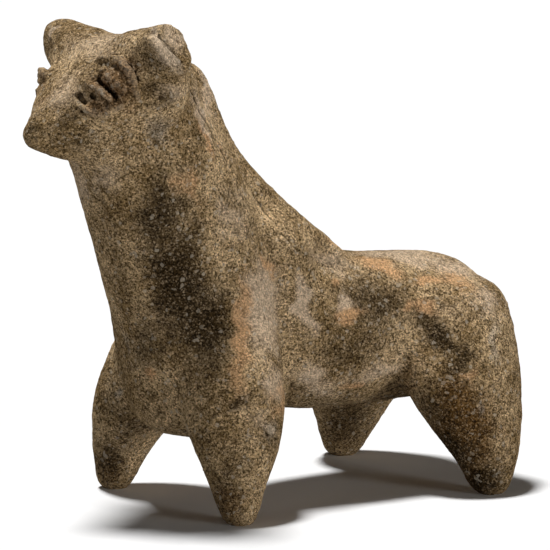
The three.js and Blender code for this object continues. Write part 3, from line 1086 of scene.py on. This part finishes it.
def makeClay(name, look, redder):
    clay = bpy.data.materials.new(name)
    clay.use_nodes = True
    tree = clay.node_tree
    shader = tree.nodes["Principled BSDF"]
    where = addNode(tree, "TexCoord").outputs["Object"]
    broad = addNoise(tree, where, *look["broad"])
    ragged = addNoise(tree, where, *look["ragged"])
    grit = addNoise(tree, where, *look["grit"])
    grains, finer = [addGrains(tree, where, size) for size in look["grainSizes"]]
    flecks = addGrains(tree, where, look["fleckSize"])
    uneven = addMath(tree, "MULTIPLY", addMath(tree, "SUBTRACT", ragged, 0.5), look["raggedness"])
    blend = addMath(tree, "ADD", broad, uneven)
    colour = addMix(tree, addRange(tree, blend, *look["mottling"]), look["dark"], look["light"])
    raggedEdge = addMath(tree, "MULTIPLY", ragged, look["stainRagged"])
    grittyEdge = addMath(tree, "MULTIPLY", grit, look["stainGrit"])
    edge = addMath(tree, "SUBTRACT", addMath(tree, "ADD", raggedEdge, grittyEdge), look["stainLess"])
    colour = addStains(tree, look["worn"], edge, colour)
    if redder:
        colour = addMix(tree, look["eyeRed"], colour, look["worn"]["red"][0])
    colour = addStains(tree, look["slip"], edge, colour)
    for grain in (grains, finer):
        colour = addLayer(tree, look, "grainDark", grain, colour, "MULTIPLY")
        colour = addLayer(tree, look, "grainBright", grain, colour, "MULTIPLY")
        colour = addLayer(tree, look, "sand", grain, colour)
    colour = addStains(tree, look["slip"], edge, colour, look["slipOverGrains"])
    colour = addLayer(tree, look, "fleck", flecks, colour)
    colour = addLayer(tree, look, "fleckDark", flecks, colour, "MULTIPLY")
    colour = addLayer(tree, look, "gritDark", grit, colour, "MULTIPLY")
    # Painted shade in the pits, wear on the ridges, and painted shade in the grooves and broad hollows
    hollow = readPaint(tree, "hollow")
    colour = addLayer(tree, look, "pitShade", hollow, colour)
    colour = addLayer(tree, look, "rubbed", hollow, colour)
    colour = addLayer(tree, look, "crack", readPaint(tree, "crack"), colour)
    colour = addLayer(tree, look, "valley", readPaint(tree, "valley"), colour)
    tree.links.new(colour, shader.inputs["Base Color"])
    shader.inputs["Roughness"].default_value = look["roughness"]
    shader.inputs["Specular IOR Level"].default_value = look["specular"]
    height = addMath(tree, "ADD", grit, addMath(tree, "MULTIPLY", grains, look["bumpGrains"]))
    bump = addNode(tree, "Bump", **look["bump"])
    tree.links.new(height, bump.inputs["Height"])
    tree.links.new(bump.outputs["Normal"], shader.inputs["Normal"])
    return clay


firedClay = makeClay("firedClay", clayLook, redder=False)
eyeClay = makeClay("eyeClay", clayLook, redder=True)
smoothBelow = math.radians(38)
for name, piece in pieces.items():
    slot = "eye_clay" if name.endswith("_lid") else "fired_clay"
    piece.data.materials.clear()
    piece.data.materials.append(eyeClay if slot == "eye_clay" else firedClay)
    pick(piece)
    bpy.ops.object.shade_smooth_by_angle(angle=smoothBelow)
    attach(piece, "root")
    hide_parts(name)
print("stage: pieces finished")


# A pale floor that takes the shadow, three soft lamps and a plain pale surround
def showToCamera(tree, seen, unseen):
    rays = tree.nodes.new("ShaderNodeLightPath")
    mix = tree.nodes.new("ShaderNodeMix")
    mix.inputs["A"].default_value = unseen
    mix.inputs["B"].default_value = seen
    tree.links.new(rays.outputs["Is Camera Ray"], mix.inputs["Factor"])
    return mix.outputs["Result"]


studio = {
    "lamps": {
        "top": {"azimuth": -62, "elevation": 79, "strength": 3.15, "angle": 10},
        "right": {"azimuth": 108, "elevation": 2, "strength": 2, "angle": 16},
        "front": {"azimuth": 12, "elevation": 2, "strength": 0.5, "angle": 16},
    },
    "worldStrength": 0.012,
    "floorSize": 12,
    "floorSeen": 1,
    "floorUnseen": 0.36,
}
deselectAll()
bpy.ops.mesh.primitive_plane_add(size=studio["floorSize"], location=(0, 0, 0))
floor = bpy.context.object
floor.name = "floor"
paper = bpy.data.materials.new("paper")
paper.use_nodes = True
paperNodes = paper.node_tree
paperShader = paperNodes.nodes["Principled BSDF"]
paperShader.inputs["Roughness"].default_value = 1
paperShader.inputs["Specular IOR Level"].default_value = 0
shade = showToCamera(paperNodes, studio["floorSeen"], studio["floorUnseen"])
paperNodes.links.new(shade, paperShader.inputs["Base Color"])
floor.data.materials.append(paper)

for name, lamp in studio["lamps"].items():
    deselectAll()
    towards = pointTowards(lamp["azimuth"], lamp["elevation"])
    bpy.ops.object.light_add(type="SUN", location=towards)
    light = bpy.context.object
    light.name = name + "Lamp"
    light.rotation_euler = (-towards).to_track_quat("-Z", "Y").to_euler()
    light.data.energy = lamp["strength"]
    light.data.angle = math.radians(lamp["angle"])
surround = bpy.context.scene.world or bpy.data.worlds.new("surround")
bpy.context.scene.world = surround
surround.use_nodes = True
backdrop = surround.node_tree.nodes["Background"]
backdrop.inputs["Color"].default_value = (1, 1, 1, 1)
glow = showToCamera(surround.node_tree, 1, studio["worldStrength"])
surround.node_tree.links.new(glow, backdrop.inputs["Strength"])
bpy.context.scene.view_settings.view_transform = "Standard"
print("stage: studio lit")

print("stage: done")
